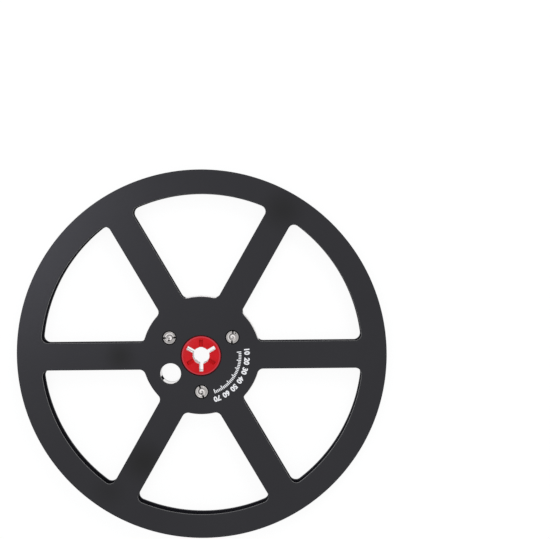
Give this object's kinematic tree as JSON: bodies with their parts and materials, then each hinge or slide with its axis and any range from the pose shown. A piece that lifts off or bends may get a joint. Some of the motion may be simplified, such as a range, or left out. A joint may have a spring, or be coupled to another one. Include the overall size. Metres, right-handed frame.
{
  "type": "empty audio tape reel",
  "caption": "Empty metal reel for quarter-inch audio tape: spoked black flanges clamped on an aluminium hub by slotted screws and sleeve nuts, with red keyed spindle plates.",
  "frame": {"origin": "centre of the rear face, on the spindle axis, where the reel lies on a table or on a turntable", "axes": "+Z along the spindle axis, out of the front face; +X runs along a spoke to the right and +Y to the top, as the front is seen, with the threading hole at 210 degrees"},
  "size_m": [0.178, 0.178, 0.0094],
  "materials": {
    "black_anodised": "satin black anodised sheet",
    "bare_aluminium": "fine turned, bare",
    "red_plastic": "moulded, slightly glossy",
    "turned_steel": "turned, nickel plated"
  },
  "bodies": {
    "reel": {"front_flange": "black_anodised", "rear_flange": "black_anodised", "hub_core": "bare_aluminium", "front_spindle_plate": "red_plastic", "rear_spindle_plate": "red_plastic"},
    "screw_1": {"clamp_screw_1": "turned_steel"},
    "nut_1": {"sleeve_nut_1": "turned_steel"},
    "screw_2": {"clamp_screw_2": "turned_steel"},
    "nut_2": {"sleeve_nut_2": "turned_steel"},
    "screw_3": {"clamp_screw_3": "turned_steel"},
    "nut_3": {"sleeve_nut_3": "turned_steel"}
  },
  "joints": [
    {"name": "nut_1_lift", "type": "slide", "parent": "reel", "child": "nut_1", "axis": [0, 0, 1], "range_m": [0, 0.005]},
    {"name": "screw_1_turn", "type": "hinge", "parent": "reel", "child": "screw_1", "pos_m": [0.01516, 0.00875, 0.00075], "axis": [0, 0, -1], "range_deg": [0, 3600]},
    {"name": "nut_2_lift", "type": "slide", "parent": "reel", "child": "nut_2", "axis": [0, 0, 1], "range_m": [0, 0.005]},
    {"name": "screw_2_turn", "type": "hinge", "parent": "reel", "child": "screw_2", "pos_m": [-0.01516, 0.00875, 0.00075], "axis": [0, 0, -1], "range_deg": [0, 3600]},
    {"name": "nut_3_lift", "type": "slide", "parent": "reel", "child": "nut_3", "axis": [0, 0, 1], "range_m": [0, 0.005]},
    {"name": "screw_3_turn", "type": "hinge", "parent": "reel", "child": "screw_3", "pos_m": [0, -0.0175, 0.00075], "axis": [0, 0, -1], "range_deg": [0, 3600]}
  ],
  "couplings": [
    {"joint": "screw_1_turn", "follows": "nut_1_lift", "rad_per_m": 12566},
    {"joint": "screw_2_turn", "follows": "nut_2_lift", "rad_per_m": 12566},
    {"joint": "screw_3_turn", "follows": "nut_3_lift", "rad_per_m": 12566}
  ]
}
